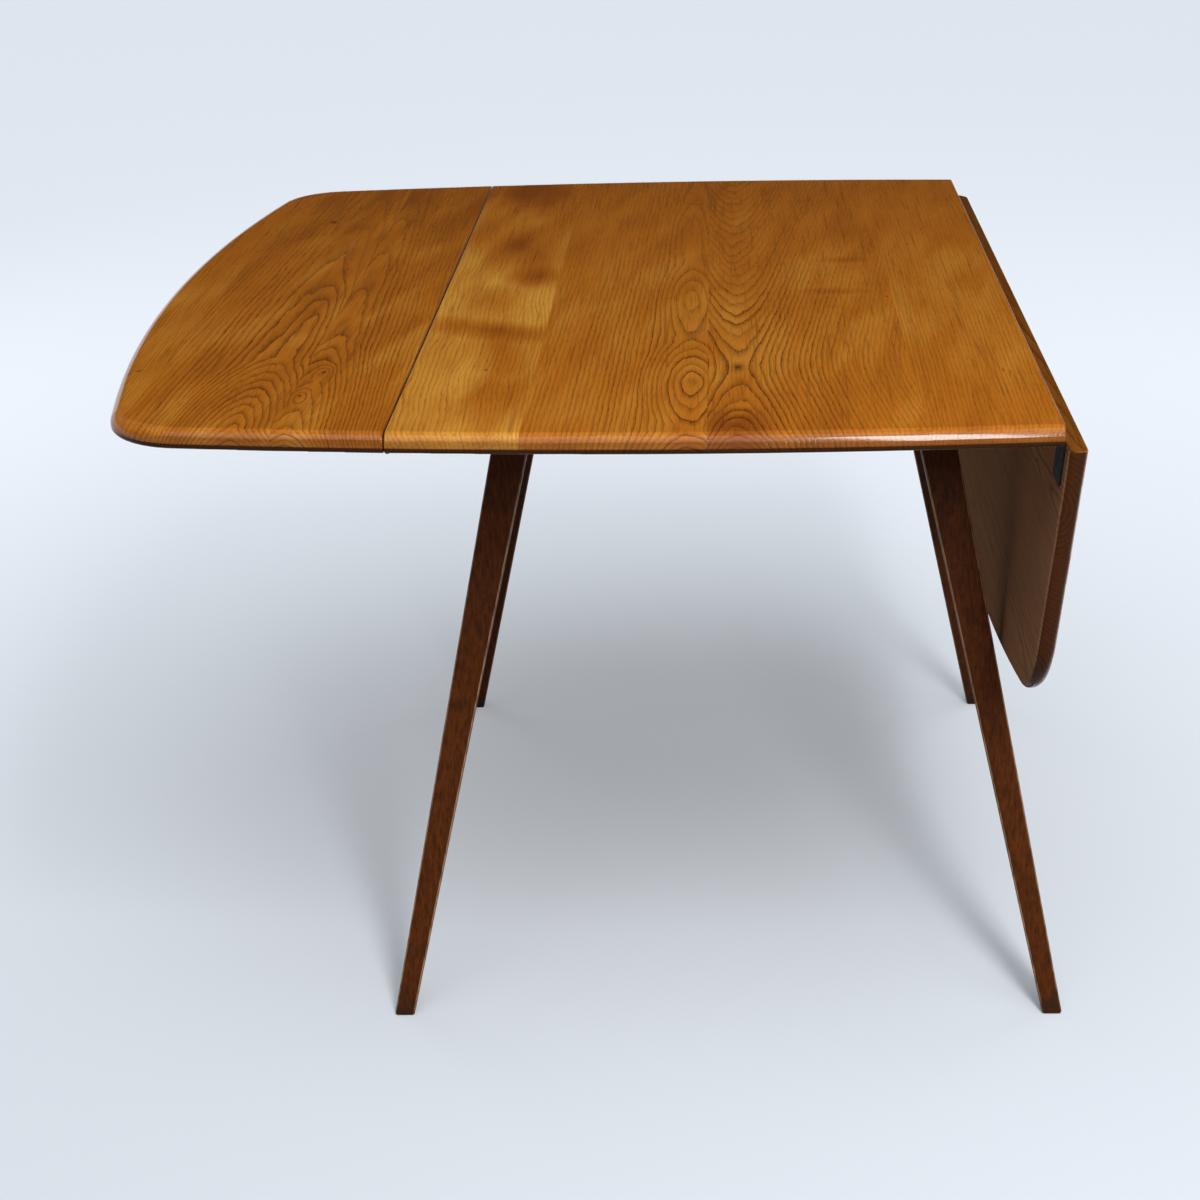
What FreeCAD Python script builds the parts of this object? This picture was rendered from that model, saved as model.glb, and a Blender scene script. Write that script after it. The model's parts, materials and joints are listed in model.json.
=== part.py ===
import FreeCAD, Part
import math
import os

# Drop-leaf dining table: a fixed centre of edge-glued boards, two hinged leaves, a tenoned underframe
# on four splayed tapered legs, and pull-out slides that carry the leaves.
# Millimetres. Origin on the floor midway between the feet, +X towards the right leaf, +Y to the back, +Z up.
# The left leaf is raised and the right leaf hangs.

# Top
table_height = 715.0
top_thickness = 19.0
top_depth = 1125.0
centre_width = 622.0
leaf_width = 316.5
side_arc_radius = 4100.0
end_arc_radius = 2560.0
corner_radius = 84.0
edge_top_share = 0.66
edge_bottom_share = 0.31
hinge_arris_radius = 1.2
leaf_joint_gap = 1.0
first_board_share = 0.2
second_board_share = 0.276
third_board_share = 0.325
leaf_inner_board_share = 0.338
leaf_middle_board_share = 0.465

# Legs, square in plan: where their axes start under the top, and how far they splay outwards
leg_end_inset = 107.0
leg_depth_share = 0.434
leg_end_splay = 153.0
leg_side_splay = 160.0
leg_top_width = 41.0
leg_foot_width = 21.5
leg_arris_radius = 3.0
leaf_rest_gap = 1.0

# Underframe
rail_thickness = 22.0
rail_height = 58.0
tenon_thickness = 9.0
tenon_height = 34.0
tenon_spacing = 3.0
block_leg_gap = 3.0
block_width = 28.0
block_height = 28.0

# Pull-out slides, two for each leaf, running in notched rails and in a guide under the middle of the top
slide_width = 24.0
slide_height = 28.0
slide_spacing = 16.0
slide_setback = 24.0
slide_top_gap = 0.5
slide_side_gap = 0.5
slide_block_gap = 7.0
slide_end_gap = 6.0
guide_thickness = 40.0
guide_wall = 9.0
guide_floor = 12.0
peg_diameter = 8.0
peg_drop = 9.0
peg_depth = 16.0
peg_fit = 0.05
stop_gap = 0.5
finger_groove_radius = 9.0
finger_groove_depth = 4.0
finger_groove_inset = 18.0

# Back-flap hinges
hinge_setback = 53.0
flap_length = 40.0
flap_reach = 42.0
flap_thickness = 1.8
flap_corner_radius = 4.0
knuckle_radius = 3.0
knuckle_count = 5
knuckle_gap = 0.3
knuckle_clearance = 0.4
pin_radius = 1.5
pin_fit = 0.05
barrel_clearance = 0.3

# Countersunk slotted screws
hinge_screw_radius = 1.75
hinge_screw_length = 14.0
hinge_screw_head = 3.4
hinge_screw_near = 13.0
hinge_screw_edge = 8.0
frame_screw_radius = 2.25
frame_screw_bite = 12.0
frame_screw_head = 4.4
frame_screw_head_height = 2.6
screw_fit = 0.05
screw_end_gap = 0.3
screw_tip = 3.0
screw_slot_width = 0.9
screw_slot_depth = 0.8

# Heights and places that follow from the sizes above
underside = table_height - top_thickness
half_centre = centre_width / 2.0
half_length = half_centre + leaf_width
half_depth = top_depth / 2.0
leg_top_x = half_centre - leg_end_inset
leg_top_y = half_depth * leg_depth_share
leg_foot_x = leg_top_x + leg_end_splay
leg_foot_y = leg_top_y + leg_side_splay
pin_drop = knuckle_radius + barrel_clearance
pin_x = half_centre + leaf_joint_gap / 2.0
pin_z = underside - pin_drop
rail_bottom = underside - rail_height
guide_height = slide_top_gap + slide_height + guide_floor
slide_top = underside - slide_top_gap
slide_bottom = slide_top - slide_height

UP = FreeCAD.Vector(0, 0, 1)
ALONG_Y = FreeCAD.Vector(0, 1, 0)
SIDES = {"left": -1, "right": 1}
ENDS = {"front": -1, "back": 1}


def point(x, y, z=0.0):
    return FreeCAD.Vector(x, y, z)


def box(x0, x1, y0, y1, z0, z1):
    """Block between two opposite corners, given in any order."""
    low = point(min(x0, x1), min(y0, y1), min(z0, z1))
    return Part.makeBox(abs(x1 - x0), abs(y1 - y0), abs(z1 - z0), low)


def leg_axis(height):
    """Distance of a leg's axis from the middle planes, along X and Y, at a height above the floor."""
    share = height / underside
    x = leg_foot_x + (leg_top_x - leg_foot_x) * share
    y = leg_foot_y + (leg_top_y - leg_foot_y) * share
    return x, y


def leg_width(height):
    return leg_foot_width + (leg_top_width - leg_foot_width) * height / underside


def hang_angle():
    """Degrees past vertical at which a dropped leaf comes to rest against the outsides of the legs."""
    lowest = pin_z - leaf_width
    leg_outside = leg_axis(lowest)[0] + leg_width(lowest) / 2.0
    lean = pin_x + pin_drop - leg_outside - leaf_rest_gap
    return math.degrees(math.asin(lean / leaf_width))


drop_angle = 90.0 + hang_angle()


# Top and leaves

def plan_corner():
    """Where the long side's arc would meet the end's arc, before the corner is rounded."""
    x, y = half_length, half_depth
    for _ in range(40):
        y = half_depth - side_arc_radius + math.sqrt(side_arc_radius ** 2 - x ** 2)
        x = half_length - end_arc_radius + math.sqrt(end_arc_radius ** 2 - y ** 2)
    return x, y


def whole_top():
    """The open top as one slab, with bowed sides and ends, round corners and a rounded edge."""
    x, y = plan_corner()
    corners = [point(-x, -y), point(x, -y), point(x, y), point(-x, y)]
    crowns = [point(0, -half_depth), point(half_length, 0), point(0, half_depth), point(-half_length, 0)]
    arcs = []
    for i, crown in enumerate(crowns):
        arcs.append(Part.Arc(corners[i], crown, corners[(i + 1) % 4]).toShape())
    slab = Part.Face(Part.Wire(arcs)).extrude(UP * top_thickness)
    slab.translate(UP * underside)
    upright = [e for e in slab.Edges if e.BoundBox.ZLength > top_thickness / 2.0]
    slab = slab.makeFillet(corner_radius, upright)
    upper = [e for e in slab.Edges if e.BoundBox.ZMin > table_height - 0.01]
    slab = slab.makeFillet(edge_top_share * top_thickness, upper)
    lower = [e for e in slab.Edges if e.BoundBox.ZMax < underside + 0.01]
    return slab.makeFillet(edge_bottom_share * top_thickness, lower)


def strip(slab, x0, x1, hinge_edges=()):
    """The board of the slab between two joints, with the arris eased round each hinge edge."""
    board = slab.common(box(x0, x1, -top_depth, top_depth, 0, 2 * table_height)).Solids[0]
    for x in hinge_edges:
        rim = [e for e in board.Edges if abs(e.BoundBox.XMin - x) + abs(e.BoundBox.XMax - x) < 0.01]
        board = board.makeFillet(hinge_arris_radius, rim)
    return board


def centre_boards(slab):
    joints = [-half_centre]
    for share in (first_board_share, second_board_share, third_board_share):
        joints.append(joints[-1] + share * centre_width)
    joints.append(half_centre)
    boards = {}
    for i in range(len(joints) - 1):
        rims = [x for x in (joints[i], joints[i + 1]) if abs(abs(x) - half_centre) < 0.01]
        boards["centre_board_%d" % (i + 1)] = strip(slab, joints[i], joints[i + 1], rims)
    return boards


def leaf_boards(slab, side):
    """The three boards of one leaf, as they lie when it is level."""
    s = SIDES[side]
    rim = s * (half_centre + leaf_joint_gap)
    first = s * (half_centre + leaf_inner_board_share * leaf_width)
    second = first + s * leaf_middle_board_share * leaf_width
    return {
        side + "_leaf_inner_board": strip(slab, rim, first, [rim]),
        side + "_leaf_middle_board": strip(slab, first, second),
        side + "_leaf_outer_board": strip(slab, second, s * (half_length + top_depth)),
    }


def lowered(shape):
    """A piece of the right leaf, turned down about the hinge pins from level to hanging."""
    turned = shape.copy()
    turned.rotate(point(pin_x, 0, pin_z), ALONG_Y, drop_angle)
    return turned


# Screws

def screw(radius, length, head, head_height, x, y, z):
    """Screw pointing up, with its flat slotted head at height z."""
    body = Part.makeCone(head, radius, head_height)
    body = body.fuse(Part.makeCylinder(radius, length - head_height - screw_tip, point(0, 0, head_height)))
    body = body.fuse(Part.makeCone(radius, radius / 6.0, screw_tip, point(0, 0, length - screw_tip)))
    slot = box(-2 * head, 2 * head, -screw_slot_width / 2.0, screw_slot_width / 2.0, 0, screw_slot_depth)
    body = body.removeSplitter().cut(slot)
    body.translate(point(x, y, z))
    return body.Solids[0]


def screw_hole(radius, length, head, head_height, x, y, z):
    """Countersunk hole for that screw, open at z."""
    sink = Part.makeCone(head + screw_fit, radius + screw_fit, head_height)
    shaft = Part.makeCylinder(radius + screw_fit, length + screw_end_gap)
    hole = sink.fuse(shaft)
    hole.translate(point(x, y, z))
    return hole


HINGE_SCREW = (hinge_screw_radius, hinge_screw_length, hinge_screw_head, flap_thickness)


def hinge_screw_places(s, reach, y):
    """Two screws near the pin and one further out, on the flap that reaches along X by the sign of reach."""
    spread = flap_length / 2.0 - hinge_screw_edge
    places = []
    for out, along in ((hinge_screw_near, -spread), (hinge_screw_near, spread), (flap_reach - hinge_screw_edge, 0)):
        places.append((s * pin_x + reach * out, y + along, underside - flap_thickness))
    return places


# Hinges

def knuckle_spans(y, first):
    """Ends along Y of every other knuckle, starting from the first or second."""
    pitch = flap_length / knuckle_count
    start = y - flap_length / 2.0
    spans = []
    for i in range(first, knuckle_count, 2):
        spans.append((start + i * pitch + knuckle_gap / 2.0, start + (i + 1) * pitch - knuckle_gap / 2.0))
    return spans


def barrel(s, radius, span):
    return Part.makeCylinder(radius, span[1] - span[0], point(s * pin_x, span[0], pin_z), ALONG_Y)


def flap(s, reach, y, first):
    """Flap under a board with its own knuckles, cut back round the knuckles of its partner."""
    far = s * pin_x + reach * flap_reach
    plate = box(s * pin_x, far, y - flap_length / 2.0, y + flap_length / 2.0, underside - flap_thickness, underside)
    corners = [e for e in plate.Edges if abs(e.BoundBox.XMin - far) + abs(e.BoundBox.XMax - far) < 0.01]
    corners = [e for e in corners if e.BoundBox.ZLength > flap_thickness / 2.0]
    plate = plate.makeFillet(flap_corner_radius, corners)
    for a, b in knuckle_spans(y, 1 - first):
        plate = plate.cut(barrel(s, knuckle_radius + knuckle_clearance, (a - knuckle_gap, b + knuckle_gap)))
    for span in knuckle_spans(y, first):
        plate = plate.fuse(barrel(s, knuckle_radius, span))
    plate = plate.cut(barrel(s, pin_radius + pin_fit, (y - flap_length, y + flap_length)))
    for place in hinge_screw_places(s, reach, y):
        plate = plate.cut(screw_hole(*HINGE_SCREW, *place))
    return plate.removeSplitter().Solids[0]


def hinge_stations():
    far = half_depth - hinge_setback
    return {"front": -far, "middle": 0.0, "back": far}


# Legs and underframe

def leg_blank(sx, sy):
    """Square tapered leg, level at the floor and at the underside of the top, with rounded arrises."""
    rings = []
    for height in (0.0, underside):
        x, y = leg_axis(height)
        half = leg_width(height) / 2.0
        turns = ((-1, -1), (1, -1), (1, 1), (-1, 1))
        rings.append([point(sx * x + i * half, sy * y + j * half, height) for i, j in turns])
    foot, head = rings
    loops = [foot[::-1], head]
    for i in range(4):
        k = (i + 1) % 4
        loops.append([foot[i], foot[k], head[k], head[i]])
    faces = [Part.Face(Part.makePolygon(loop + loop[:1])) for loop in loops]
    blank = Part.Solid(Part.Shell(faces))
    arrises = [e for e in blank.Edges if e.BoundBox.ZMin < underside / 2.0]
    return blank.makeFillet(leg_arris_radius, arrises)


rail_middle_x, rail_middle_y = leg_axis(underside - rail_height / 2.0)
rail_inner_x = rail_middle_x - rail_thickness / 2.0
rail_inner_y = rail_middle_y - rail_thickness / 2.0
leg_corner_x = leg_top_x - leg_top_width / 2.0
leg_corner_y = leg_top_y - leg_top_width / 2.0
block_near = rail_inner_x - leg_corner_x + rail_inner_y - leg_corner_y + block_leg_gap
block_far = block_near + block_width
tenon_end = tenon_thickness / 2.0 + tenon_spacing
tenon_top = underside - (rail_height - tenon_height) / 2.0
tenon_bottom = tenon_top - tenon_height


def cross_rail(sy):
    """Front or back rail and its tenons, before the legs are cut from the rail."""
    y = sy * rail_middle_y
    half = rail_thickness / 2.0
    rail = box(-leg_foot_x, leg_foot_x, y - half, y + half, rail_bottom, underside)
    tenon_x = rail_middle_x - tenon_end
    half = tenon_thickness / 2.0
    return rail, box(-tenon_x, tenon_x, y - half, y + half, tenon_bottom, tenon_top)


def side_rail(sx):
    """Left or right rail and its tenons, before the legs and the slide notches are cut from the rail."""
    x = sx * rail_middle_x
    half = rail_thickness / 2.0
    rail = box(x - half, x + half, -leg_foot_y, leg_foot_y, rail_bottom, underside)
    tenon_y = rail_middle_y - tenon_end
    half = tenon_thickness / 2.0
    return rail, box(x - half, x + half, -tenon_y, tenon_y, tenon_bottom, tenon_top)


def between_legs(rail, tenons, legs):
    """The length of a rail that lies between its two legs, with its tenons."""
    middle = rail.CenterOfMass
    for leg in legs:
        rail = rail.cut(leg)
    lengths = sorted(rail.Solids, key=lambda solid: (solid.CenterOfMass - middle).Length)
    return lengths[0].fuse(tenons).removeSplitter().Solids[0]


def corner_block(sx, sy):
    """Block across the inner corner of two rails, clear of the leg, flush with the top's underside."""
    x, y = sx * rail_inner_x, sy * rail_inner_y
    outline = [
        point(x - sx * block_near, y),
        point(x - sx * block_far, y),
        point(x, y - sy * block_far),
        point(x, y - sy * block_near),
    ]
    block = Part.Face(Part.makePolygon(outline + outline[:1])).extrude(UP * block_height)
    block.translate(UP * (underside - block_height))
    return block


def corner_screw_place(sx, sy):
    inset = (block_near + block_far) / 4.0
    return sx * (rail_inner_x - inset), sy * (rail_inner_y - inset)


# Slides and their guides

outer_slide_y = rail_inner_y - block_far - slide_block_gap - slide_width / 2.0
inner_slide_y = outer_slide_y - slide_width - slide_spacing
slide_y = {"left": inner_slide_y, "right": outer_slide_y}
slide_outer_end = half_centre - slide_setback
slide_inner_end = rail_inner_x - slide_end_gap
peg_rest_x = guide_thickness / 2.0 + stop_gap + peg_diameter / 2.0
slide_travel = rail_inner_x - stop_gap - peg_diameter / 2.0 - peg_rest_x


def slide_channel(x0, x1, y):
    """Room for a slide to pass, open at the underside of the top."""
    half = slide_width / 2.0 + slide_side_gap
    return box(x0, x1, y - half, y + half, slide_bottom - slide_top_gap, underside)


def slide(side, end):
    """Slide pushed home, with a groove for the fingers under its outer end and a blind hole for its peg."""
    s = SIDES[side]
    y = ENDS[end] * slide_y[side]
    half = slide_width / 2.0
    bar = box(s * slide_outer_end, -s * slide_inner_end, y - half, y + half, slide_bottom, slide_top)
    groove_x = s * (slide_outer_end - finger_groove_inset)
    groove_z = slide_bottom - finger_groove_radius + finger_groove_depth
    groove = Part.makeCylinder(finger_groove_radius, slide_width, point(groove_x, y - half, groove_z), ALONG_Y)
    hole_base = point(s * peg_rest_x, y, slide_bottom)
    hole = Part.makeCylinder(peg_diameter / 2.0 + peg_fit, peg_depth, hole_base)
    return bar.cut(groove).cut(hole)


def stop_peg(side, end):
    """Peg that meets the guide when the slide is home and the rail when it is fully out."""
    base = point(SIDES[side] * peg_rest_x, ENDS[end] * slide_y[side], slide_bottom - peg_drop)
    return Part.makeCylinder(peg_diameter / 2.0, peg_drop + peg_depth, base)


def slide_guide(sy):
    """Notched block under the middle of the top that keeps one slide of each leaf in line."""
    reach = slide_width / 2.0 + slide_side_gap + guide_wall
    half = guide_thickness / 2.0
    block = box(-half, half, sy * (inner_slide_y - reach), sy * (outer_slide_y + reach),
                underside - guide_height, underside)
    for side in SIDES:
        block = block.cut(slide_channel(-half, half, sy * slide_y[side]))
    return block


def guide_screw_place(sy):
    return 0.0, sy * (inner_slide_y + outer_slide_y) / 2.0


# Build every piece

slab = whole_top()
pieces = centre_boards(slab)
leaf_pieces = {side: leaf_boards(slab, side) for side in SIDES}
hinge_screws = {"centre": [], "left_leaf": [], "right_leaf": []}

for side, s in SIDES.items():
    for station, y in hinge_stations().items():
        name = "%s_%s_hinge_" % (side, station)
        pieces[name + "fixed_flap"] = flap(s, -s, y, 0)
        leaf_pieces[side][name + "leaf_flap"] = flap(s, s, y, 1)
        ends = (y - flap_length / 2.0, y + flap_length / 2.0)
        pieces[name + "pin"] = barrel(s, pin_radius, ends)
        for body, reach in (("centre", -s), (side + "_leaf", s)):
            hinge_screws[body] += hinge_screw_places(s, reach, y)

legs = {}
for end, sy in ENDS.items():
    for side, sx in SIDES.items():
        legs[end + "_" + side] = leg_blank(sx, sy)

tenons = []
for end, sy in ENDS.items():
    rail, tenon = cross_rail(sy)
    pieces[end + "_rail"] = between_legs(rail, tenon, [legs[end + "_" + side] for side in SIDES])
    tenons.append(tenon)
for side, sx in SIDES.items():
    rail, tenon = side_rail(sx)
    rail = between_legs(rail, tenon, [legs[end + "_" + side] for end in ENDS])
    for sy in ENDS.values():
        x = sx * rail_middle_x
        rail = rail.cut(slide_channel(x - rail_thickness, x + rail_thickness, sy * slide_y[side]))
    pieces[side + "_rail"] = rail
    tenons.append(tenon)
for name, blank in legs.items():
    for tenon in tenons:
        blank = blank.cut(tenon)
    pieces[name + "_leg"] = blank.Solids[0]

frame_screws = []
for end, sy in ENDS.items():
    for side, sx in SIDES.items():
        frame_screws.append(corner_screw_place(sx, sy) + (block_height,))
        pieces["%s_%s_corner_block" % (end, side)] = corner_block(sx, sy)
        pieces["%s_%s_slide" % (side, end)] = slide(side, end)
        pieces["%s_%s_slide_peg" % (side, end)] = stop_peg(side, end)
    frame_screws.append(guide_screw_place(sy) + (guide_height,))
    pieces[end + "_slide_guide"] = slide_guide(sy)


def drilled(boards, holes):
    """Each board, less the holes that reach into it."""
    out = {}
    for name, board in boards.items():
        near = [hole for hole in holes if hole.BoundBox.intersect(board.BoundBox)]
        out[name] = board.cut(near).Solids[0] if near else board
    return out


# Screw holes and screws; the right leaf is drilled level and then turned down with its screws
screws = {}
holes = [screw_hole(*HINGE_SCREW, *place) for place in hinge_screws["centre"]]
screws["centre_hinge_screws"] = [screw(*HINGE_SCREW, *place) for place in hinge_screws["centre"]]
screws["frame_screws"] = []
for x, y, through in frame_screws:
    size = (frame_screw_radius, through + frame_screw_bite, frame_screw_head, frame_screw_head_height)
    holes.append(screw_hole(*size, x, y, underside - through))
    screws["frame_screws"].append(screw(*size, x, y, underside - through))
wooden = [name for name in pieces if name.startswith("centre_board") or name.endswith(("_block", "_guide"))]
pieces.update(drilled({name: pieces[name] for name in wooden}, holes))

for side in SIDES:
    places = hinge_screws[side + "_leaf"]
    holes = [screw_hole(*HINGE_SCREW, *place) for place in places]
    boards = {name: shape for name, shape in leaf_pieces[side].items() if name.endswith("board")}
    leaf_pieces[side].update(drilled(boards, holes))
    screws[side + "_leaf_hinge_screws"] = [screw(*HINGE_SCREW, *place) for place in places]

pieces.update(leaf_pieces["left"])
pieces.update({name: lowered(shape) for name, shape in leaf_pieces["right"].items()})
screws["right_leaf_hinge_screws"] = [lowered(one) for one in screws["right_leaf_hinge_screws"]]
for name, group in screws.items():
    pieces[name] = Part.makeCompound(group)

os.makedirs("parts", exist_ok=True)
for name, shape in pieces.items():
    shape.exportStep("parts/%s.step" % name)
print("pieces", len(pieces))
print("hinge pin", round(pin_x, 4), round(pin_z, 4), "drop angle", round(drop_angle, 4))
print("slide travel", round(slide_travel, 3), "slide rows", round(inner_slide_y, 3), round(outer_slide_y, 3))
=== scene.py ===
import json
import math

import bmesh
import bpy
from mathutils import Matrix, Vector

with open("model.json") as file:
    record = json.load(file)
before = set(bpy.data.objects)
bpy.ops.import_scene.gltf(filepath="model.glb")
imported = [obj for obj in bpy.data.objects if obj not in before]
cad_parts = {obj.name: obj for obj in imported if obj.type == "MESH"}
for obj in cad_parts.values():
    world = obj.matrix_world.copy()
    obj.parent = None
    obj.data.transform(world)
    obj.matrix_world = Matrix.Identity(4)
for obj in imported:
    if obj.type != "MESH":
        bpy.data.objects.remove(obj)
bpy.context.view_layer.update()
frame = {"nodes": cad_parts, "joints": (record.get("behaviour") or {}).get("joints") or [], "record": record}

# The looks of a drop-leaf dining table: figured elm boards under satin varnish, dark-stained beech legs
# and underframe, oiled beech slides and black-lacquered steel hinges. Lengths are in metres, or in
# millimetres where a name says so and inside the materials, which read object coordinates as millimetres.

# Picture and camera: the picture is square, and the lens is as long as the view's perspective asks
PICTURE = 1200
FOCAL_PIXELS = 2206.7
AXIS_PIXEL = (654.0, 714.9)
CAMERA_PLACE = Vector((-0.001, -2.4767, 1.3357))
CAMERA_PITCH = math.radians(25.156)
CAMERA_YAW = math.radians(-2.008)
CAMERA_ROLL = math.radians(1.238)
SENSOR_WIDTH_MM = 36.0

NODES = frame["nodes"]
HINGES = {joint["name"]: joint for joint in frame["joints"] if joint["type"] == "hinge"}
RIGHT_PIN = Vector(HINGES["right_leaf_hinge"]["pos_m"])
RIGHT_DROP = math.radians(HINGES["right_leaf_hinge"]["range_deg"][1])
MM = 1000.0


def colour(hex_code):
    """Linear colour of an sRGB hex value."""
    shares = [int(hex_code[i:i + 2], 16) / 255 for i in (1, 3, 5)]
    linear = [c / 12.92 if c <= 0.04045 else ((c + 0.055) / 1.055) ** 2.4 for c in shares]
    return (*linear, 1.0)


def add(tree, kind, links=None, **settings):
    """A node with its settings, and its inputs set to values or linked to other nodes' outputs."""
    node = tree.nodes.new("ShaderNode" + kind)
    for name, value in settings.items():
        setattr(node, name, value)
    for socket, value in (links or {}).items():
        if isinstance(value, bpy.types.NodeSocket):
            tree.links.new(value, node.inputs[socket])
        else:
            node.inputs[socket].default_value = value
    return node


def set_stops(ramp, stops):
    """Gives a colour ramp its stops, each a place and a colour."""
    for _ in range(len(stops) - 2):
        ramp.elements.new(0.5)
    for element, (spot, tint) in zip(ramp.elements, stops):
        element.position = spot
        element.color = tint


def new_material(name):
    """A material with an empty node tree, and the tree."""
    material = bpy.data.materials.new(name)
    material.use_nodes = True
    material.node_tree.nodes.clear()
    return material, material.node_tree


# Elm boards: the wood from deep to pale stain, its other colours, and the depth of a ring over its width
WOOD_STOPS = (0.0, "#854410"), (0.5, "#AD651A"), (1.0, "#CC8F36")
LINE_TINT = "#4E2508"
PORE_TINT = "#3A1B06"
KNOT_TINT = "#2E1606"
# The end grain tints also paint shade on the front edges, the low edges and the hinge-line edges
END_GRAIN_AND_SHADE_TINTS = "#42220A", "#221004"
UNDERSIDE_TINTS = "#A87A58", "#664730"
RING_STOPS = (0.0, 0.1), (0.05, 1.0), (0.26, 0.5), (0.6, 0.0)
LINE_DEPTH = 0.85

# Sizes of the elm's noises in millimetres, across and along the grain. The clouds' scale is per millimetre,
# and spots in the figure are as good as endless downwards, so that they go through the board.
SLOW_WAVE = 70, 260
FINE_WAVE = 8, 45
FINE_WAVE_DEPTH = 3.2
RING_BREAK = 5, 70
PORE = 0.9, 16
STREAK = 2.2, 120
CLOUD_SCALE = 1 / 42, 1 / 210, 1 / 60
CLOUD_TURN = 0.16
CLOUD_MIDDLE = 0.55
ARCH_ROUNDING = 60.0
THROUGH = 1e6
SEED_STEP = 11.3

# Shares of the noises between which pores, streaks and clouds begin and are complete, and their strengths
PORE_SHARES = 0.5, 0.7
STREAK_SHARES, STREAK_DEPTH = (0.52, 0.72), 0.5
CLOUD_SHARES = 0.3, 0.7
RING_VARIATION, FAINTEST_RING = (0.4, 1.4), 0.42
BAND_PORES, PLAIN_PORES = 0.55, 0.16

# Where the elm changes, in millimetres from the heart and along the board
PLAIN_ACROSS, PLAIN_SHARE = (40.0, 150.0), 0.5
FAINT_ALONG, FAINT_SHARE = (-200.0, 250.0), 0.5
# Painted shade: the wood darkens towards the back, where less light falls
BACK_SHADE_ALONG, BACK_SHADE_BY = (-60.0, 500.0), -0.2

# Facings between which end grain, the painted shade of low edges and of hinge edges, and the underside begin
# and are complete
END_FACING, END_SHARE = (0.6, 0.95), 0.5
LOW_SHADE_FACING = 0.25, -0.1
HANGING_END_FACING, HANGING_END_SHARE = (0.35, 0.7), 1.0
HANGING_LOW_SHADE_FACING = 0.35, -0.15
HINGE_EDGE_FACING, HINGE_GAP_SHADE_SHARE = (0.1, 0.35), 0.6
UNDERSIDE_FACING = -0.75, -0.97

# Varnish: its roughness, what the pore bands add, the bare underside's, and the gleam of varnished and
# of bare wood
VARNISH_ROUGHNESS = 0.09
BAND_ROUGHNESS = 0.05
UNDERSIDE_ROUGHNESS = 0.95
VARNISH_GLEAM = 0.29
BARE_GLEAM = 0.05
PORE_RELIEF, PORE_RELIEF_DEPTH = 0.4, 0.00007
VARNISH_IOR = 1.5


class Board:
    """One board's figure in millimetres. The rings lie round a heart line, across the top at heart_x and
    heart_depth below it, and climb along the board away from turn_y. Eyes (x, y, half width, half length,
    rings) are closed loops in the figure, knots (x, y, half width, half length) are dark spots, and stains
    (x, y, half width, half length, turn, depth) are soft shadows. Tone and blotch give the stain's level and
    clouds."""

    def __init__(self, heart_x, heart_depth, climb, ring, wave, tone, blotch,
                 turn_y=-3000, eyes=(), knots=(), stains=()):
        self.heart_x = heart_x
        self.heart_depth = heart_depth
        self.climb = climb
        self.ring = ring
        self.wave = wave
        self.tone = tone
        self.blotch = blotch
        self.turn_y = turn_y
        self.eyes = eyes
        self.knots = knots
        self.stains = stains


TABLE_TOP_MM = 715.0

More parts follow.
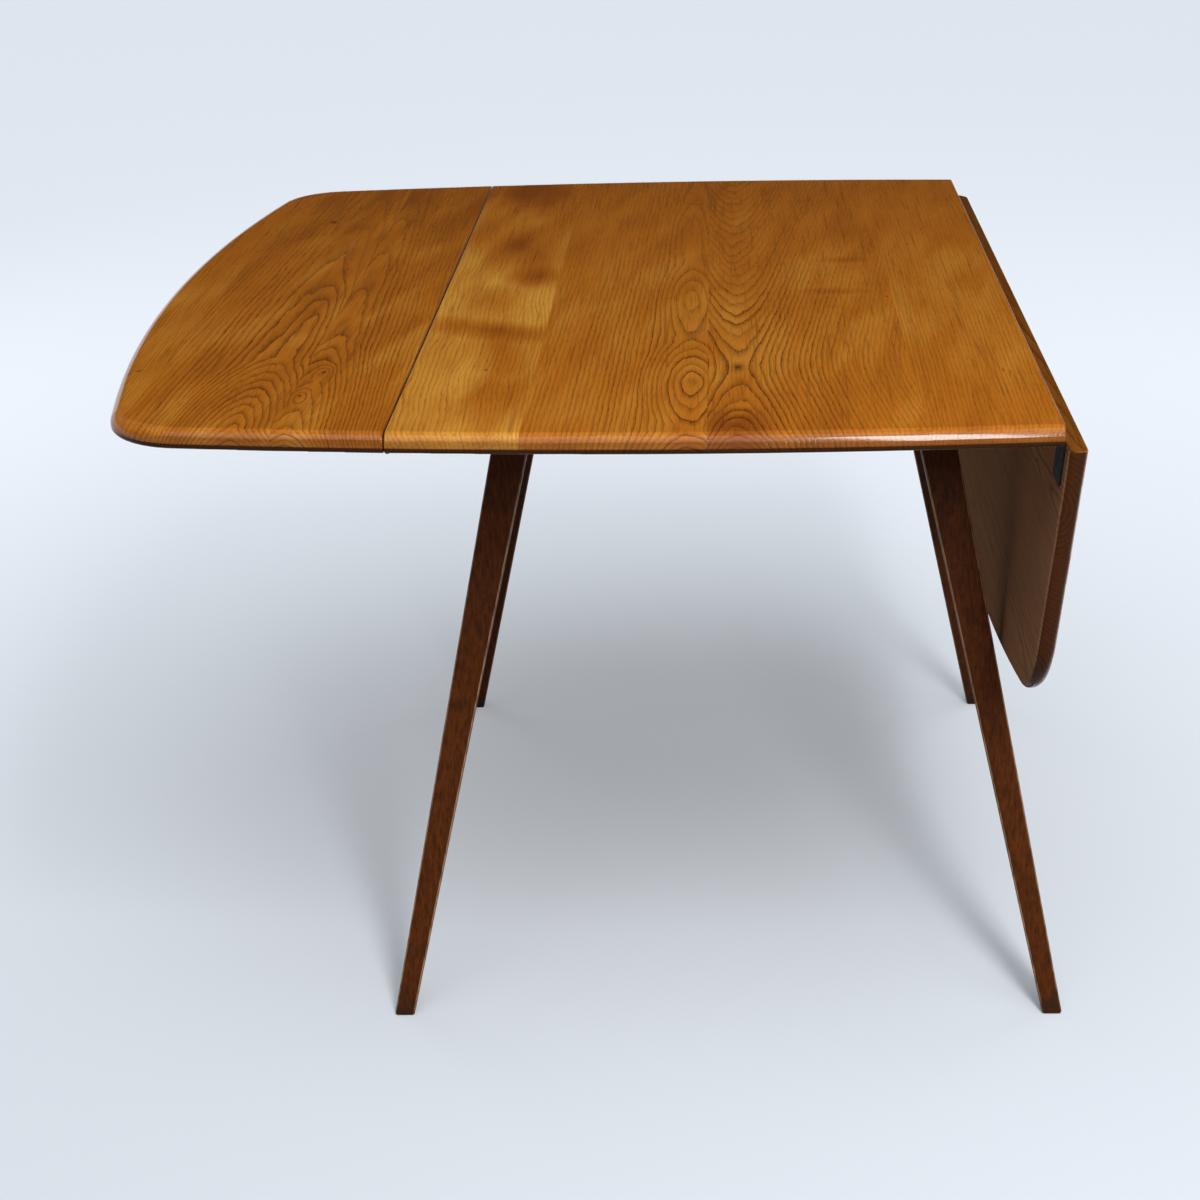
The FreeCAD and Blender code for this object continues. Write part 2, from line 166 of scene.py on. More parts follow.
BOARDS = {
    "left_leaf_outer_board": Board(
        heart_x=-760, heart_depth=60, climb=0.01, ring=3.8, wave=4, tone=0.02, blotch=0.25,
        knots=((-588, -334, 9, 4), (-596, -345, 3, 12)),
    ),
    "left_leaf_middle_board": Board(
        heart_x=-455, heart_depth=60, climb=0.03, ring=5.0, wave=4, tone=-0.04, blotch=0.35,
        eyes=((-455, -530, 78, 240, 7.5), (-440, -150, 26, 190, 2)),
        knots=((-495, 330, 9, 14),),
    ),
    "left_leaf_inner_board": Board(
        heart_x=-405, heart_depth=30, climb=0.03, ring=4.5, wave=5, tone=-0.08, blotch=0.4,
        eyes=((-400, -620, 90, 380, 6), (-398, -345, 14, 36, 2), (-409, -425, 12, 32, 2)),
        knots=((-398, -345, 4, 9), (-409, -425, 3.5, 8)),
    ),
    "centre_board_1": Board(
        heart_x=-420, heart_depth=90, climb=0.02, ring=4.2, wave=12, tone=0.32, blotch=0.35,
        knots=((-236, -345, 3, 7),),
        stains=((-205, 430, 80, 330, 0.0, 0.35), (-270, 500, 90, 200, 0.0, 0.6),
                (-245, 170, 62, 210, 0.22, 0.6), (-212, 30, 46, 60, 0.2, 0.5),
                (-250, -80, 44, 90, 0.25, 0.35), (-240, -195, 120, 44, -0.45, 0.6),
                (-225, -270, 45, 110, 0.05, 0.45), (-208, -430, 48, 150, 0.05, 0.6)),
    ),
    "centre_board_2": Board(
        heart_x=-32, heart_depth=32, climb=0.025, ring=5.0, wave=3, tone=0.0, blotch=0.25,
        eyes=((-28, -390, 62, 150, 4.5), (-36, -70, 46, 160, 2.5), (-42, 250, 30, 180, 1.5)),
    ),
    "centre_board_3": Board(
        heart_x=16, heart_depth=31, climb=-0.12, ring=5.0, wave=3, tone=0.0, blotch=0.3,
        turn_y=-345,
        eyes=((10, 120, 14, 110, 1), (8, -545, 34, 80, 1.5)),
        knots=((15, -345, 12, 30), (181, -76, 2.5, 5)),
        stains=((141, 94, 32, 18, 0.0, 0.3), (124, -51, 46, 18, 0.0, 0.3), (8, -530, 44, 60, 0.0, 0.5),
                (100, -540, 160, 240, 0.0, 0.2)),
    ),
    "centre_board_4": Board(
        heart_x=450, heart_depth=70, climb=0.012, ring=4.0, wave=4, tone=0.03, blotch=0.25,
        knots=((275, -365, 1.6, 14), (281, -372, 1.4, 11)),
        stains=((250, -540, 160, 240, 0.0, 0.2),),
    ),
    "right_leaf_inner_board": Board(
        heart_x=372, heart_depth=34, climb=0.05, ring=5.0, wave=4, tone=0.0, blotch=0.3,
        eyes=((370, -220, 44, 170, 3), (366, 260, 40, 180, 2)),
    ),
    "right_leaf_middle_board": Board(
        heart_x=560, heart_depth=60, climb=-0.02, ring=4.4, wave=5, tone=-0.03, blotch=0.35,
        knots=((470, 140, 5, 10),),
        stains=((480, 60, 40, 240, 0.0, 0.4),),
    ),
    "right_leaf_outer_board": Board(
        heart_x=720, heart_depth=60, climb=0.015, ring=3.8, wave=4, tone=0.03, blotch=0.25,
    ),
}
HINGE_EDGE_BOARDS = "left_leaf_inner_board", "centre_board_1", "centre_board_4"


def along_grain(across, along):
    """Scale of a pattern that is this many millimetres across and along the grain."""
    return 1 / across, 1 / along, 1 / across


def elm(name, board, seed, hanging, hinge_edge):
    """Figured elm: dark pore bands that follow the growth rings, short pores along the grain, tea-brown stain
    in soft clouds with painted shade towards the back, end grain that drank more of it, painted shade on the
    front edges, the low edges and the hinge-line edges, and a satin varnish; the underside is bare, dull and
    greyer."""
    material, tree = new_material(name)
    coordinates = add(tree, "TexCoord")
    place, facing = coordinates.outputs["Object"], coordinates.outputs["Normal"]
    if hanging:
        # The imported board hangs, so its pattern is turned back to level about the hinge pin
        turn = {"Vector": place, "Center": RIGHT_PIN, "Angle": -RIGHT_DROP}
        place = add(tree, "VectorRotate", turn, rotation_type="Y_AXIS").outputs[0]
        turn = {"Vector": facing, "Center": (0, 0, 0), "Angle": -RIGHT_DROP}
        facing = add(tree, "VectorRotate", turn, rotation_type="Y_AXIS").outputs[0]
    mm = add(tree, "VectorMath", {0: place, "Scale": MM}, operation="SCALE").outputs[0]
    along = add(tree, "SeparateXYZ", {0: mm}).outputs["Y"]

    # Growth rings: distance from the heart, climbing along the board, bent by slow waves
    slow = {"Vector": mm, "Location": (seed, 0, 0), "Scale": along_grain(*SLOW_WAVE)}
    slow = add(tree, "Mapping", slow).outputs[0]
    slow = {"Vector": slow, "Scale": 1.0, "Detail": 2.0, "Roughness": 0.45}
    slow = add(tree, "TexNoise", slow).outputs["Fac"]
    to_heart = (-board.heart_x, 0, board.heart_depth - TABLE_TOP_MM)
    heart = {"Vector": mm, "Location": to_heart, "Scale": (1, 0, 1)}
    heart = add(tree, "Mapping", heart).outputs[0]
    rings = add(tree, "VectorMath", {0: heart}, operation="LENGTH").outputs["Value"]
    run = add(tree, "Math", {0: along, 1: board.turn_y}, operation="SUBTRACT").outputs[0]
    run = add(tree, "CombineXYZ", {"X": run, "Y": ARCH_ROUNDING}).outputs[0]
    run = add(tree, "VectorMath", {0: run}, operation="LENGTH").outputs["Value"]
    rings = add(tree, "Math", {0: run, 1: board.climb, 2: rings}, operation="MULTIPLY_ADD").outputs[0]
    rings = add(tree, "Math", {0: slow, 1: 2 * board.wave, 2: rings}, operation="MULTIPLY_ADD").outputs[0]
    for x, y, half_width, half_length, count in board.eyes:
        eye = {"Vector": mm, "Location": (x, y, 0), "Scale": (half_width, half_length, THROUGH)}
        eye = add(tree, "Mapping", eye, vector_type="TEXTURE").outputs[0]
        eye = add(tree, "TexGradient", {"Vector": eye}, gradient_type="SPHERICAL").outputs["Fac"]
        depth = -count * board.ring
        rings = add(tree, "Math", {0: eye, 1: depth, 2: rings}, operation="MULTIPLY_ADD").outputs[0]
    fine = {"Vector": mm, "Location": (0, seed, 0), "Scale": along_grain(*FINE_WAVE)}
    fine = add(tree, "Mapping", fine).outputs[0]
    fine = add(tree, "TexNoise", {"Vector": fine, "Scale": 1.0, "Detail": 3.0}).outputs["Fac"]
    rings = add(tree, "Math", {0: fine, 1: FINE_WAVE_DEPTH, 2: rings}, operation="MULTIPLY_ADD").outputs[0]
    turns = add(tree, "Math", {0: rings, 1: board.ring}, operation="DIVIDE").outputs[0]
    phase = add(tree, "Math", {0: turns}, operation="FRACT").outputs[0]
    band = add(tree, "ValToRGB", {"Fac": phase})
    set_stops(band.color_ramp, [(spot, (depth, depth, depth, 1)) for spot, depth in RING_STOPS])
    band = band.outputs["Color"]

    # Each ring is darker or fainter than its neighbour and broken along its length, and all are fainter away
    # from the heart, where the grain runs straight, and towards the back
    ring_index = add(tree, "Math", {0: turns}, operation="FLOOR").outputs[0]
    vary = add(tree, "TexWhiteNoise", {"W": ring_index}, noise_dimensions="1D").outputs["Value"]
    broken = {"Vector": mm, "Location": (0, 0, seed), "Scale": along_grain(*RING_BREAK)}
    broken = add(tree, "Mapping", broken).outputs[0]
    broken = add(tree, "TexNoise", {"Vector": broken, "Scale": 1.0, "Detail": 2.0}).outputs["Fac"]
    vary = add(tree, "Math", {0: vary, 1: broken}, operation="ADD").outputs[0]
    start, full = RING_VARIATION
    vary = {"Value": vary, "From Min": start, "From Max": full, "To Min": FAINTEST_RING, "To Max": 1.0}
    vary = add(tree, "MapRange", vary).outputs["Result"]
    band = add(tree, "Math", {0: band, 1: vary}, operation="MULTIPLY").outputs[0]
    across = add(tree, "SeparateXYZ", {0: heart}).outputs["X"]
    across = add(tree, "Math", {0: across}, operation="ABSOLUTE").outputs[0]
    near, far = PLAIN_ACROSS
    across = {"Value": across, "From Min": near, "From Max": far, "To Min": 1.0, "To Max": PLAIN_SHARE}
    across = add(tree, "MapRange", across).outputs["Result"]
    band = add(tree, "Math", {0: band, 1: across}, operation="MULTIPLY").outputs[0]
    front, back = FAINT_ALONG
    faint = {"Value": along, "From Min": front, "From Max": back, "To Min": 1.0, "To Max": FAINT_SHARE}
    faint = add(tree, "MapRange", faint).outputs["Result"]
    band = add(tree, "Math", {0: band, 1: faint}, operation="MULTIPLY").outputs[0]

    # Pores are short dashes, coarser than real ones so that they show, and early wood makes long streaks
    pores = add(tree, "Mapping", {"Vector": mm, "Scale": along_grain(*PORE)}).outputs[0]
    pores = add(tree, "TexNoise", {"Vector": pores, "Scale": 1.0, "Detail": 1.0}).outputs["Fac"]
    start, full = PORE_SHARES
    pores = add(tree, "MapRange", {"Value": pores, "From Min": start, "From Max": full}).outputs["Result"]
    streaks = {"Vector": mm, "Location": (0, 0, 2 * seed), "Scale": along_grain(*STREAK)}
    streaks = add(tree, "Mapping", streaks).outputs[0]
    streaks = add(tree, "TexNoise", {"Vector": streaks, "Scale": 1.0, "Detail": 2.0}).outputs["Fac"]
    start, full = STREAK_SHARES
    streaks = {"Value": streaks, "From Min": start, "From Max": full, "To Max": STREAK_DEPTH}
    streaks = add(tree, "MapRange", streaks).outputs["Result"]

    # Clouds of stain, and painted shade that darkens the wood towards the back, where less light falls
    clouds = add(tree, "VectorRotate", {"Vector": mm, "Angle": CLOUD_TURN}, rotation_type="Z_AXIS").outputs[0]
    clouds = {"Vector": clouds, "Location": (3 * seed, 0, 0), "Scale": CLOUD_SCALE}
    clouds = add(tree, "Mapping", clouds).outputs[0]
    clouds = {"Vector": clouds, "Scale": 1.0, "Detail": 1.5, "Distortion": 0.3}
    clouds = add(tree, "TexNoise", clouds).outputs["Fac"]
    middle, reach = CLOUD_MIDDLE + board.tone, 0.5 * board.blotch
    start, full = CLOUD_SHARES
    clouds = {"Value": clouds, "From Min": start, "From Max": full}
    clouds.update({"To Min": middle - reach, "To Max": middle + reach})
    clouds = add(tree, "MapRange", clouds).outputs["Result"]
    front, back = BACK_SHADE_ALONG
    back_shade = {"Value": along, "From Min": front, "From Max": back, "To Max": BACK_SHADE_BY}
    back_shade = add(tree, "MapRange", back_shade).outputs["Result"]
    clouds = add(tree, "Math", {0: clouds, 1: back_shade}, operation="ADD").outputs[0]
    for x, y, half_width, half_length, turn, depth in board.stains:
        stain = {"Vector": mm, "Location": (x, y, 0), "Rotation": (0, 0, turn)}
        stain["Scale"] = (half_width, half_length, THROUGH)
        stain = add(tree, "Mapping", stain, vector_type="TEXTURE").outputs[0]
        stain = add(tree, "TexGradient", {"Vector": stain}, gradient_type="SPHERICAL").outputs["Fac"]
        clouds = add(tree, "Math", {0: stain, 1: -depth, 2: clouds}, operation="MULTIPLY_ADD").outputs[0]
    wood = add(tree, "ValToRGB", {"Fac": clouds})
    set_stops(wood.color_ramp, [(spot, colour(tint)) for spot, tint in WOOD_STOPS])
    wood = wood.outputs["Color"]

    # Dark lines, pores and knots over the stain
    line = add(tree, "Math", {0: band, 1: streaks}, operation="MAXIMUM").outputs[0]
    line = add(tree, "Math", {0: line, 1: LINE_DEPTH}, operation="MULTIPLY").outputs[0]
    wood = add(tree, "Mix", {0: line, 6: wood, 7: colour(LINE_TINT)}, data_type="RGBA").outputs[2]
    speck = {0: band, 1: BAND_PORES, 2: PLAIN_PORES}
    speck = add(tree, "Math", speck, operation="MULTIPLY_ADD").outputs[0]
    speck = add(tree, "Math", {0: speck, 1: pores}, operation="MULTIPLY").outputs[0]
    wood = add(tree, "Mix", {0: speck, 6: wood, 7: colour(PORE_TINT)}, data_type="RGBA").outputs[2]
    for x, y, half_width, half_length in board.knots:
        knot = {"Vector": mm, "Location": (x, y, 0), "Scale": (half_width, half_length, THROUGH)}
        knot = add(tree, "Mapping", knot, vector_type="TEXTURE").outputs[0]
        knot = add(tree, "TexGradient", {"Vector": knot}, gradient_type="QUADRATIC_SPHERE").outputs["Fac"]
        wood = add(tree, "Mix", {0: knot, 6: wood, 7: colour(KNOT_TINT)}, data_type="RGBA").outputs[2]

    # End grain drank more stain, and its darker tint on the front edges, over the whole rounding on the
    # hanging
    #     # leaf, is partly painted shade; the lower half of every edge is painted shade, and low edges have
    #     little varnish
    facing = add(tree, "SeparateXYZ", {0: facing}).outputs
    ends_and_shade = add(tree, "Math", {0: facing["Y"]}, operation="ABSOLUTE").outputs[0]
    start, full = HANGING_END_FACING if hanging else END_FACING
    share = HANGING_END_SHARE if hanging else END_SHARE
    ends_and_shade = {"Value": ends_and_shade, "From Min": start, "From Max": full, "To Max": share}
    ends_and_shade = add(tree, "MapRange", ends_and_shade).outputs["Result"]
    start, full = HANGING_LOW_SHADE_FACING if hanging else LOW_SHADE_FACING
    low_edge_shade = {"Value": facing["Z"], "From Min": start, "From Max": full}
    low_edge_shade = add(tree, "MapRange", low_edge_shade).outputs["Result"]
    ends_and_shade = add(tree, "Math", {0: ends_and_shade, 1: low_edge_shade}, operation="MAXIMUM").outputs[0]
    dull = ends_and_shade if hanging else low_edge_shade
    if hinge_edge:
        # The square edge at the hinge line is bare, and its darker tint is painted shade of the narrow gap
        # there
        side = add(tree, "Math", {0: facing["X"]}, operation="ABSOLUTE").outputs[0]
        start, full = HINGE_EDGE_FACING
        side = add(tree, "MapRange", {"Value": side, "From Min": start, "From Max": full}).outputs["Result"]
        hinge_gap_shade = add(tree, "Math", {0: side, 1: HINGE_GAP_SHADE_SHARE}, operation="MULTIPLY").outputs[0]
        ends_and_shade = add(tree, "Math", {0: ends_and_shade, 1: hinge_gap_shade}, operation="MAXIMUM").outputs[0]
        dull = add(tree, "Math", {0: dull, 1: side}, operation="MAXIMUM").outputs[0]
    gleam = {"Value": dull, "To Min": VARNISH_GLEAM, "To Max": BARE_GLEAM}
    gleam = add(tree, "MapRange", gleam).outputs["Result"]
    end_grain_and_shade = {0: line, 6: colour(END_GRAIN_AND_SHADE_TINTS[0]), 7: colour(END_GRAIN_AND_SHADE_TINTS[1])}
    end_grain_and_shade = add(tree, "Mix", end_grain_and_shade, data_type="RGBA").outputs[2]
    wood = add(tree, "Mix", {0: ends_and_shade, 6: wood, 7: end_grain_and_shade}, data_type="RGBA").outputs[2]

    # Bare underside
    start, full = UNDERSIDE_FACING
    under = {"Value": facing["Z"], "From Min": start, "From Max": full}
    under = add(tree, "MapRange", under).outputs["Result"]
    bare = {0: line, 6: colour(UNDERSIDE_TINTS[0]), 7: colour(UNDERSIDE_TINTS[1])}
    bare = add(tree, "Mix", bare, data_type="RGBA").outputs[2]
    tint = add(tree, "Mix", {0: under, 6: wood, 7: bare}, data_type="RGBA").outputs[2]

    # Satin varnish, duller in the pore bands and quite dull underneath
    rough = {0: band, 1: BAND_ROUGHNESS, 2: VARNISH_ROUGHNESS}
    rough = add(tree, "Math", rough, operation="MULTIPLY_ADD").outputs[0]
    rough = add(tree, "Mix", {0: under, 2: rough, 3: UNDERSIDE_ROUGHNESS}, data_type="FLOAT").outputs[0]
    relief = add(tree, "Math", {0: speck, 1: band}, operation="ADD").outputs[0]
    relief = {"Height": relief, "Strength": PORE_RELIEF, "Distance": PORE_RELIEF_DEPTH}
    bump = add(tree, "Bump", relief, invert=True).outputs[0]
    shader = {"Base Color": tint, "Roughness": rough, "Normal": bump}
    shader.update({"IOR": VARNISH_IOR, "Specular IOR Level": gleam})
    shader = add(tree, "BsdfPrincipled", shader).outputs[0]
    add(tree, "OutputMaterial", {"Surface": shader})
    return material


# Beech: noise scales per millimetre, across and up the piece, and the colours of flecks, worn arrises with a
# # painted highlight on them, and scuffed feet
BEECH_STREAK_SCALE = 1 / 3, 1 / 3, 1 / 120
BEECH_FLECK_SCALE = 1 / 0.9, 1 / 0.9, 1 / 6
STREAK_TINT_SHARES = 0.3, 0.7
FLECK_SHARES = 0.55, 0.75
FLECK_TINT = "#1A0B03"
FLECK_DEPTH = 0.5
FLECK_RELIEF, FLECK_RELIEF_DEPTH = 0.2, 0.0002
ARRIS_WEAR_AND_HIGHLIGHT_TINT = "#C9A078"
ARRIS_FACING = 0.36, 0.48
ARRIS_BREAK_SHARES, FAINTEST_ARRIS = (0.35, 0.55), 0.4
SCUFF_TINT = "#2A1A10"
SCUFF_SCALE = 1 / 9
SCUFF_WANDER_MM = 60.0
SCUFF_HEIGHTS_MM = 62.0, 36.0
SCUFF_DEPTH = 0.7
BEECH_IOR = 1.5
DULL_GLEAM = 0.08


def stained_beech(name, dark, light, rough, arris_wear_and_highlight):
    """Beech under a dark spirit stain: short flecks and fine streaks along the piece, upright arrises paler
    in places, partly rubbed wear and partly a painted highlight, and dirt and scuffs where a piece stands on
    the floor."""
    material, tree = new_material(name)
    coordinates = add(tree, "TexCoord")
    place, facing = coordinates.outputs["Object"], coordinates.outputs["Normal"]
    mm = add(tree, "VectorMath", {0: place, "Scale": MM}, operation="SCALE").outputs[0]
    streak = add(tree, "Mapping", {"Vector": mm, "Scale": BEECH_STREAK_SCALE}).outputs[0]
    streak = add(tree, "TexNoise", {"Vector": streak, "Scale": 1.0, "Detail": 3.0}).outputs["Fac"]
    fleck = add(tree, "Mapping", {"Vector": mm, "Scale": BEECH_FLECK_SCALE}).outputs[0]
    fleck = add(tree, "TexNoise", {"Vector": fleck, "Scale": 1.0, "Detail": 1.0}).outputs["Fac"]
    start, full = FLECK_SHARES
    fleck = add(tree, "MapRange", {"Value": fleck, "From Min": start, "From Max": full}).outputs["Result"]
    start, full = STREAK_TINT_SHARES
    tint = add(tree, "MapRange", {"Value": streak, "From Min": start, "From Max": full}).outputs["Result"]
    tint = add(tree, "Mix", {0: tint, 6: colour(dark), 7: colour(light)}, data_type="RGBA").outputs[2]
    shade = add(tree, "Math", {0: fleck, 1: FLECK_DEPTH}, operation="MULTIPLY").outputs[0]
    tint = add(tree, "Mix", {0: shade, 6: tint, 7: colour(FLECK_TINT)}, data_type="RGBA").outputs[2]
    facing = add(tree, "SeparateXYZ", {0: facing}).outputs
    # Pale upright arrises: partly rubbed wear, partly a painted highlight on the rounded edges
    arris = add(tree, "Math", {0: facing["X"], 1: facing["Y"]}, operation="MULTIPLY").outputs[0]
    arris = add(tree, "Math", {0: arris}, operation="ABSOLUTE").outputs[0]
    start, full = ARRIS_FACING
    arris = {"Value": arris, "From Min": start, "From Max": full, "To Max": arris_wear_and_highlight}
    arris = add(tree, "MapRange", arris).outputs["Result"]
    start, full = ARRIS_BREAK_SHARES
    arris_breaks = {"Value": streak, "From Min": start, "From Max": full, "To Min": FAINTEST_ARRIS}
    arris_breaks = add(tree, "MapRange", arris_breaks).outputs["Result"]
    arris = add(tree, "Math", {0: arris, 1: arris_breaks}, operation="MULTIPLY").outputs[0]
    tint = add(tree, "Mix", {0: arris, 6: tint, 7: colour(ARRIS_WEAR_AND_HIGHLIGHT_TINT)}, data_type="RGBA").outputs[2]
    height = add(tree, "SeparateXYZ", {0: mm}).outputs["Z"]
    scuff = add(tree, "TexNoise", {"Vector": mm, "Scale": SCUFF_SCALE, "Detail": 3.0}).outputs["Fac"]
    scuff = {0: scuff, 1: SCUFF_WANDER_MM, 2: height}
    scuff = add(tree, "Math", scuff, operation="MULTIPLY_ADD").outputs[0]
    start, full = SCUFF_HEIGHTS_MM
    scuff = {"Value": scuff, "From Min": start, "From Max": full, "To Max": SCUFF_DEPTH}
    scuff = add(tree, "MapRange", scuff).outputs["Result"]
    tint = add(tree, "Mix", {0: scuff, 6: tint, 7: colour(SCUFF_TINT)}, data_type="RGBA").outputs[2]
    relief = {"Height": fleck, "Strength": FLECK_RELIEF, "Distance": FLECK_RELIEF_DEPTH}
    bump = add(tree, "Bump", relief, invert=True).outputs[0]
    shader = {"Base Color": tint, "Roughness": rough, "Normal": bump}
    shader.update({"IOR": BEECH_IOR, "Specular IOR Level": DULL_GLEAM})
    shader = add(tree, "BsdfPrincipled", shader).outputs[0]
    add(tree, "OutputMaterial", {"Surface": shader})
    return material


# Lacquered steel
MOTTLE_SCALE = 1 / 3
LACQUER_ROUGHNESS = 0.6, 0.85


def japanned_steel(name, dark, light):
    """Pressed steel under old black lacquer: nearly black, mottled where it has rubbed, and dull."""
    material, tree = new_material(name)
    place = add(tree, "TexCoord").outputs["Object"]
    mm = add(tree, "VectorMath", {0: place, "Scale": MM}, operation="SCALE").outputs[0]
    mottle = {"Vector": mm, "Scale": MOTTLE_SCALE, "Detail": 4.0}
    mottle = add(tree, "TexNoise", mottle).outputs["Fac"]
    tint = add(tree, "Mix", {0: mottle, 6: colour(dark), 7: colour(light)}, data_type="RGBA").outputs[2]
    smooth, dull = LACQUER_ROUGHNESS
    rough = add(tree, "MapRange", {"Value": mottle, "To Min": smooth, "To Max": dull}).outputs["Result"]
    shader = {"Base Color": tint, "Roughness": rough, "Specular IOR Level": DULL_GLEAM}
    shader = add(tree, "BsdfPrincipled", shader).outputs[0]
    add(tree, "OutputMaterial", {"Surface": shader})
    return material


def dress():
    """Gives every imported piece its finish."""
    legs = stained_beech("stained_beech_legs", "#381A06", "#592B0B", rough=0.42, arris_wear_and_highlight=0.65)
    underframe = stained_beech("stained_beech_frame", "#4A2A14", "#63391C", rough=0.55, arris_wear_and_highlight=0.0)
    slides = stained_beech("oiled_beech", "#8A5F36", "#A87A4A", rough=0.5, arris_wear_and_highlight=0.0)
    hinge_steel = japanned_steel("black_japanned_steel", "#111010", "#1E1C1B")
    screw_steel = japanned_steel("dark_screw_steel", "#2A2826", "#4A4743")
    finishes = {"stained_legs": legs, "stained_frame": underframe, "beech_slides": slides,
                "hinge_steel": hinge_steel, "screw_steel": screw_steel}
    slots = {part["node"]: part["material_slot"] for part in frame["record"]["subparts"]}
    for seed, (node, board) in enumerate(BOARDS.items()):
        hanging, hinge_edge = node.startswith("right_leaf"), node in HINGE_EDGE_BOARDS
        finish = elm("elm_" + node, board, SEED_STEP * (seed + 1), hanging, hinge_edge)
        NODES[node].data.materials.clear()
        NODES[node].data.materials.append(finish)
        NODES[node].modifiers.new("even_shading", "WEIGHTED_NORMAL")
    for node, slot in slots.items():
        if slot in finishes:
            NODES[node].data.materials.clear()
            NODES[node].data.materials.append(finishes[slot])


# Floor: its size and colour, a duller colour for what it throws back on the table, and a glow that evens it
# out, from near the lamp's spot to its reach
FLOOR_RADIUS = 30.0
FLOOR_SEGMENTS = 96
FLOOR_TINT = "#E0E5EB"
FLOOR_BOUNCE = "#8A8682"
FLOOR_GLOW = 0.26
NEAR_GLOW = 0.4
FAR_GLOW = 2.15
GLOW_REACH = 3.6
LAMP_SPOT = Vector((0.0, -1.1, 0.0))

# Lamps
LAMP_SIZE = (0.45, 1.8)
LAMP_POWER = 67.0
LAMP_PLACE = Vector((0.6, -2.2, 2.25))
LAMP_AIM = Vector((0.2, -0.5, 0.71))
FILL_SIZE = 1.6
FILL_POWER = 9.0
FILL_PLACES = Vector((-2.3, 2.1, 1.9)), Vector((2.6, 1.7, 1.9))
FILL_AIM = Vector((0.0, 0.0, 0.5))

# Room: its light on dull surfaces, its walls as seen from foot to head, a dark curtain behind the table and a
# bright ceiling. The fades are in the parts of a unit vector that points there.
ROOM_LEVEL = 0.25
WALL_FOOT_LEVEL = 1.0
WALL_HEAD_LEVEL = 0.16
WALL_FADE = 0.09, 0.25
CURTAIN_LEVEL = 0.008
CURTAIN_SIDES = 0.78, 0.87
CURTAIN_FOOT = 0.1, 0.14
CURTAIN_HEAD = 0.58, 0.44
CEILING_WAY = Vector((0.0, -0.42, 0.9))
CEILING_LEVEL = 2.4
CEILING_FADE = 0.78, 0.97


def lay_floor():
    """A plain pale painted floor that fills the view, evened out where the lamp falls off."""
    shape = bmesh.new()
    bmesh.ops.create_circle(shape, cap_ends=True, segments=FLOOR_SEGMENTS, radius=FLOOR_RADIUS)
    mesh = bpy.data.meshes.new("floor")
    shape.to_mesh(mesh)
    shape.free()
    floor = bpy.data.objects.new("floor", mesh)
    bpy.context.scene.collection.objects.link(floor)
    material, tree = new_material("painted_floor")
    path = add(tree, "LightPath").outputs
    seen = {0: path["Is Camera Ray"], 1: path["Is Glossy Ray"]}
    seen = add(tree, "Math", seen, operation="MAXIMUM").outputs[0]
    seen = add(tree, "Math", {0: seen, 1: path["Is Transmission Ray"]}, operation="MAXIMUM").outputs[0]
    share = add(tree, "Math", {0: seen, 1: FLOOR_GLOW}, operation="MULTIPLY").outputs[0]
    tint = {0: seen, 6: colour(FLOOR_BOUNCE), 7: colour(FLOOR_TINT)}
    tint = add(tree, "Mix", tint, data_type="RGBA").outputs[2]
    paint = add(tree, "BsdfDiffuse", {"Color": tint}).outputs[0]
    spot = {0: add(tree, "TexCoord").outputs["Object"], 1: LAMP_SPOT}
    spot = add(tree, "VectorMath", spot, operation="DISTANCE").outputs["Value"]
    fade = {"Value": spot, "From Max": GLOW_REACH, "To Min": NEAR_GLOW, "To Max": FAR_GLOW}
    fade = add(tree, "MapRange", fade, interpolation_type="SMOOTHSTEP").outputs["Result"]
    glow = add(tree, "Emission", {"Color": colour(FLOOR_TINT), "Strength": fade}).outputs[0]
    mixed = add(tree, "MixShader", {0: share, 1: paint, 2: glow}).outputs[0]
    add(tree, "OutputMaterial", {"Surface": mixed})
    mesh.materials.append(material)


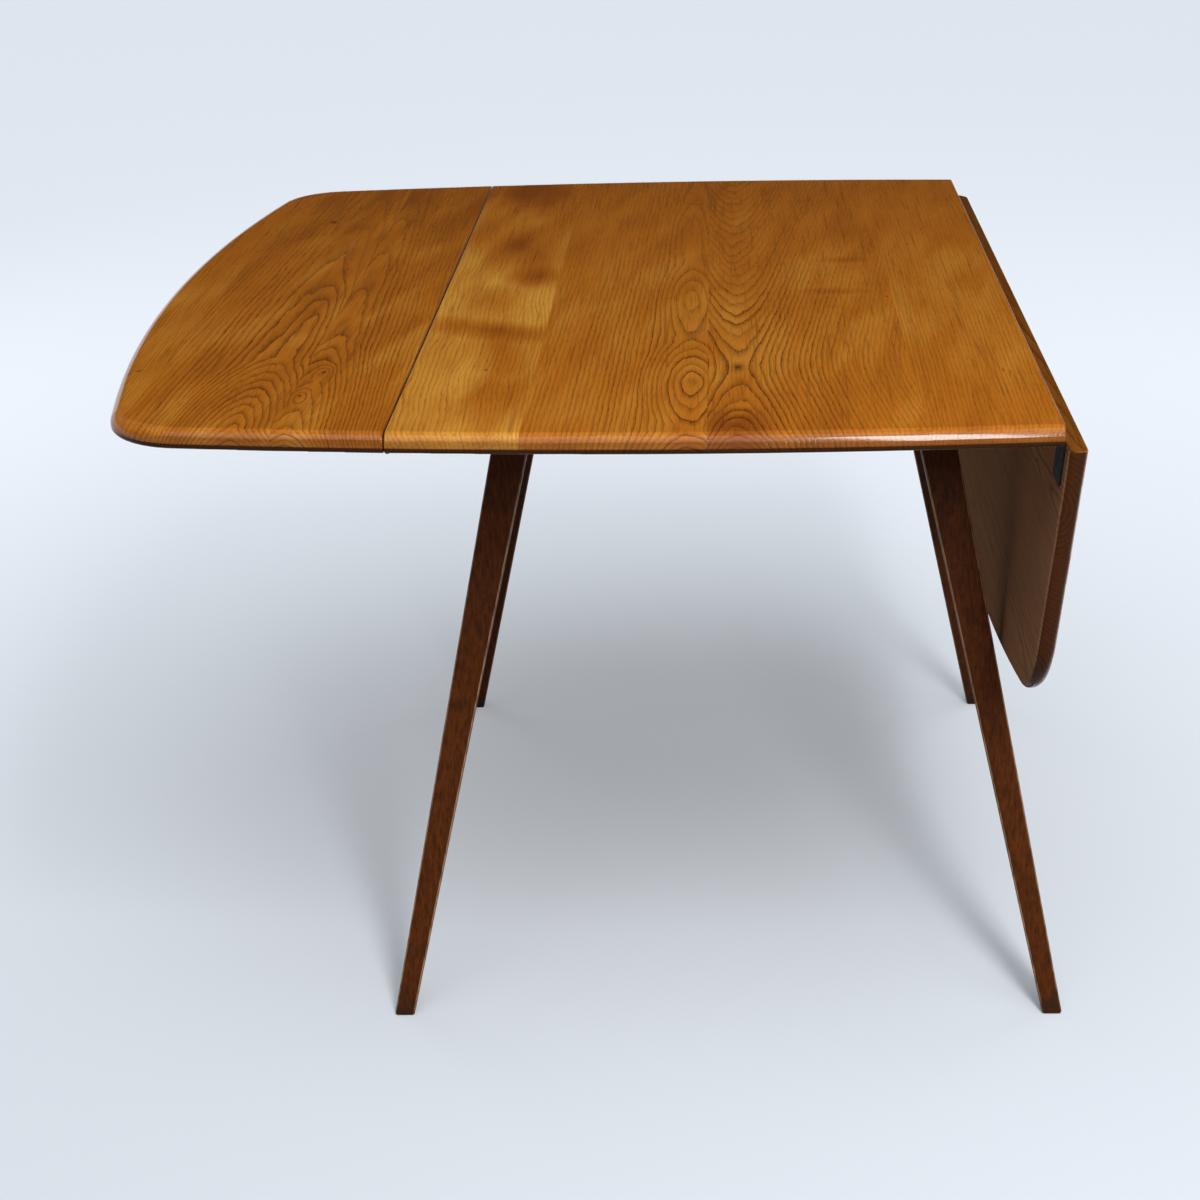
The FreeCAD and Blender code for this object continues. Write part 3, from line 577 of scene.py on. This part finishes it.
def light_studio():
    """A tall softbox in front on the right, a soft glow overhead towards the front, a weak fill from behind
    on each side, and a room that is pale at the foot of its walls, with a dark curtain behind the table,
    which keeps the varnish clear of glare."""
    world = bpy.data.worlds.new("studio")
    bpy.context.scene.world = world
    world.use_nodes = True
    tree = world.node_tree
    tree.nodes.clear()
    way = add(tree, "TexCoord").outputs["Generated"]
    parts = add(tree, "SeparateXYZ", {0: way}).outputs
    path = add(tree, "LightPath").outputs
    seen = {0: path["Is Camera Ray"], 1: path["Is Glossy Ray"]}
    seen = add(tree, "Math", seen, operation="MAXIMUM").outputs[0]
    seen = add(tree, "Math", {0: seen, 1: path["Is Transmission Ray"]}, operation="MAXIMUM").outputs[0]
    start, full = WALL_FADE
    walls = {"Value": parts["Z"], "From Min": start, "From Max": full}
    walls.update({"To Min": WALL_FOOT_LEVEL, "To Max": WALL_HEAD_LEVEL})
    walls = add(tree, "MapRange", walls, interpolation_type="SMOOTHSTEP").outputs["Result"]
    room = add(tree, "Mix", {0: seen, 2: ROOM_LEVEL, 3: walls}, data_type="FLOAT").outputs[0]
    start, full = CURTAIN_SIDES
    curtain = {"Value": parts["Y"], "From Min": start, "From Max": full}
    curtain = add(tree, "MapRange", curtain, interpolation_type="SMOOTHSTEP").outputs["Result"]
    start, full = CURTAIN_FOOT
    foot = {"Value": parts["Z"], "From Min": start, "From Max": full}
    foot = add(tree, "MapRange", foot).outputs["Result"]
    start, full = CURTAIN_HEAD
    head = {"Value": parts["Z"], "From Min": start, "From Max": full}
    head = add(tree, "MapRange", head).outputs["Result"]
    curtain = add(tree, "Math", {0: curtain, 1: foot}, operation="MULTIPLY").outputs[0]
    curtain = add(tree, "Math", {0: curtain, 1: head}, operation="MULTIPLY").outputs[0]
    room = add(tree, "Mix", {0: curtain, 2: room, 3: CURTAIN_LEVEL}, data_type="FLOAT").outputs[0]
    ceiling = {0: way, 1: CEILING_WAY.normalized()}
    ceiling = add(tree, "VectorMath", ceiling, operation="DOT_PRODUCT").outputs["Value"]
    start, full = CEILING_FADE
    ceiling = {"Value": ceiling, "From Min": start, "From Max": full, "To Max": CEILING_LEVEL}
    ceiling = add(tree, "MapRange", ceiling, interpolation_type="SMOOTHSTEP").outputs["Result"]
    level = add(tree, "Math", {0: room, 1: ceiling}, operation="ADD").outputs[0]
    sky = add(tree, "Background", {"Color": colour(FLOOR_TINT), "Strength": level}).outputs[0]
    add(tree, "OutputWorld", {"Surface": sky})

    lamps = (
        ("softbox", LAMP_SIZE, LAMP_POWER, LAMP_PLACE, LAMP_AIM, True),
        ("left_fill", (FILL_SIZE, FILL_SIZE), FILL_POWER, FILL_PLACES[0], FILL_AIM, False),
        ("right_fill", (FILL_SIZE, FILL_SIZE), FILL_POWER, FILL_PLACES[1], FILL_AIM, False),
    )
    for name, size, power, place, aim, gleams in lamps:
        lamp = bpy.data.lights.new(name, "AREA")
        lamp.shape = "RECTANGLE"
        lamp.size, lamp.size_y = size
        lamp.energy = power
        box = bpy.data.objects.new(name, lamp)
        box.location = place
        box.rotation_euler = (aim - place).to_track_quat("-Z", "Y").to_euler()
        box.visible_camera = False
        box.visible_glossy = gleams
        bpy.context.scene.collection.objects.link(box)


def place_camera():
    """The view of the photograph, with the lens shifted to its axis."""
    forward = Vector((math.sin(CAMERA_YAW) * math.cos(CAMERA_PITCH),
                      math.cos(CAMERA_YAW) * math.cos(CAMERA_PITCH), -math.sin(CAMERA_PITCH)))
    level_right = Vector((math.cos(CAMERA_YAW), -math.sin(CAMERA_YAW), 0))
    level_down = forward.cross(level_right)
    right = math.cos(CAMERA_ROLL) * level_right + math.sin(CAMERA_ROLL) * level_down
    up = math.sin(CAMERA_ROLL) * level_right - math.cos(CAMERA_ROLL) * level_down
    turn = Matrix((right, up, -forward)).transposed()
    lens = bpy.data.cameras.new("camera")
    lens.sensor_width = SENSOR_WIDTH_MM
    lens.lens = FOCAL_PIXELS / PICTURE * SENSOR_WIDTH_MM
    lens.shift_x = 0.5 - AXIS_PIXEL[0] / PICTURE
    lens.shift_y = AXIS_PIXEL[1] / PICTURE - 0.5
    camera = bpy.data.objects.new("camera", lens)
    camera.matrix_world = Matrix.Translation(CAMERA_PLACE) @ turn.to_4x4()
    bpy.context.scene.collection.objects.link(camera)
    bpy.context.scene.camera = camera


dress()
lay_floor()
light_studio()
place_camera()
bpy.context.scene.view_settings.view_transform = "Standard"
